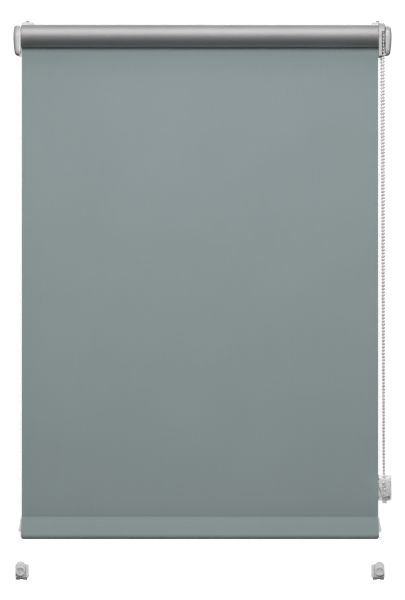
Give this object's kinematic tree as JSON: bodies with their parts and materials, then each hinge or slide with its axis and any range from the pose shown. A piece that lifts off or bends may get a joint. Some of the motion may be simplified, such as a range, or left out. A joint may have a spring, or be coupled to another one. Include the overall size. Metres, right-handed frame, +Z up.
{
  "type": "roller blind",
  "caption": "Chain-driven roller blind on clamp brackets, with side guide cords, weighted hem, clamp feet with cord knobs and a chain tensioner",
  "frame": {"origin": "on the sash face, midway between the outsides of the two end covers, level with the roller axis", "axes": "+Z up, +X to the right of a person facing the blind, +Y from the room towards the window"},
  "size_m": [0.7, 0.0778, 1.0368],
  "materials": {
    "white_plastic": "satin white moulding",
    "clear_plastic": "translucent, glossy",
    "bead_plastic": "glossy beads on a woven core",
    "nylon_cord": "translucent monofilament",
    "cloth_face": "fine plain weave, matt",
    "cloth_coating": "pearly metallised backing",
    "aluminium": "mill finish",
    "steel": "zinc plated",
    "grey_rubber": "soft, matt",
    "grey_plastic": "moulded, satin"
  },
  "bodies": {
    "root": {"bracket_left": "white_plastic", "bracket_right": "white_plastic", "cover_left": "white_plastic", "cover_right": "white_plastic", "chain_guard": "white_plastic", "drive_core": "white_plastic", "hook_carrier_left": "white_plastic", "hook_carrier_right": "white_plastic", "carrier_screw_left": "steel", "carrier_screw_right": "steel", "hook_screw_left": "steel", "hook_screw_right": "steel", "guide_cord_left": "nylon_cord", "guide_cord_right": "nylon_cord", "cord_stop_left": "clear_plastic", "cord_stop_right": "clear_plastic", "bead_chain": "bead_plastic", "tensioner_plate": "clear_plastic", "tensioner_yoke": "clear_plastic", "tensioner_axle": "steel", "tensioner_shroud": "clear_plastic", "tensioner_screw_1": "steel", "tensioner_screw_2": "steel", "foot_base_left": "white_plastic", "foot_base_right": "white_plastic", "foot_body_left": "white_plastic", "foot_body_right": "white_plastic", "foot_screw_left": "steel", "foot_screw_right": "steel", "fabric_sheet": "cloth_face"},
    "roller": {"roller_tube": "aluminium", "fabric_roll": "cloth_coating", "idle_plug": "white_plastic", "idle_spring": "steel", "drive_spigot": "white_plastic", "sprocket": "white_plastic", "clutch_spring": "steel"},
    "plunger": {"idle_pin": "white_plastic"},
    "hem": {"hem_pocket": "cloth_face", "bottom_bar": "aluminium", "bar_end_left": "clear_plastic", "bar_end_right": "clear_plastic"},
    "chain_pulley": {"tensioner_pulley": "white_plastic"},
    "head_claw_left": {"hook_claw_left": "white_plastic", "hook_pad_left": "grey_rubber"},
    "head_claw_right": {"hook_claw_right": "white_plastic", "hook_pad_right": "grey_rubber"},
    "base_claw_left": {"foot_claw_left": "grey_plastic", "foot_pad_left": "grey_rubber"},
    "base_claw_right": {"foot_claw_right": "grey_plastic", "foot_pad_right": "grey_rubber"},
    "knob_left": {"foot_knob_left": "white_plastic"},
    "knob_right": {"foot_knob_right": "white_plastic"}
  },
  "joints": [
    {"name": "roller_spin", "type": "hinge", "parent": "root", "child": "roller", "pos_m": [0, -0.032, 0], "axis": [1, 0, 0], "range_deg": [0, 2132]},
    {"name": "hem_lift", "type": "slide", "parent": "root", "child": "hem", "axis": [0, 0, 1], "range_m": [0, 0.845], "deforming": ["fabric_sheet"]},
    {"name": "plunger_press", "type": "slide", "parent": "roller", "child": "plunger", "axis": [1, 0, 0], "range_m": [0, 0.0045], "stiffness_N_per_m": 400, "springref_m": -0.006, "deforming": ["idle_spring"]},
    {"name": "pulley_spin", "type": "hinge", "parent": "root", "child": "chain_pulley", "pos_m": [0.336, -0.022, -0.839], "axis": [1, 0, 0], "range_deg": [0, 5690]},
    {"name": "head_claw_left_slide", "type": "slide", "parent": "root", "child": "head_claw_left", "axis": [0, 1, 0], "range_m": [-0.004, 0.004]},
    {"name": "head_claw_right_slide", "type": "slide", "parent": "root", "child": "head_claw_right", "axis": [0, 1, 0], "range_m": [-0.004, 0.004]},
    {"name": "base_claw_left_slide", "type": "slide", "parent": "root", "child": "base_claw_left", "axis": [0, 1, 0], "range_m": [-0.004, 0.004]},
    {"name": "base_claw_right_slide", "type": "slide", "parent": "root", "child": "base_claw_right", "axis": [0, 1, 0], "range_m": [-0.004, 0.004]},
    {"name": "knob_left_turn", "type": "hinge", "parent": "root", "child": "knob_left", "pos_m": [-0.3375, -0.018, -0.9903], "axis": [0, -1, 0], "continuous": true},
    {"name": "knob_right_turn", "type": "hinge", "parent": "root", "child": "knob_right", "pos_m": [0.3281, -0.018, -0.9903], "axis": [0, -1, 0], "continuous": true}
  ],
  "couplings": [
    {"joint": "hem_lift", "follows": "roller_spin", "m_per_rad": 0.0227},
    {"joint": "pulley_spin", "follows": "roller_spin", "ratio": 2.6667}
  ]
}
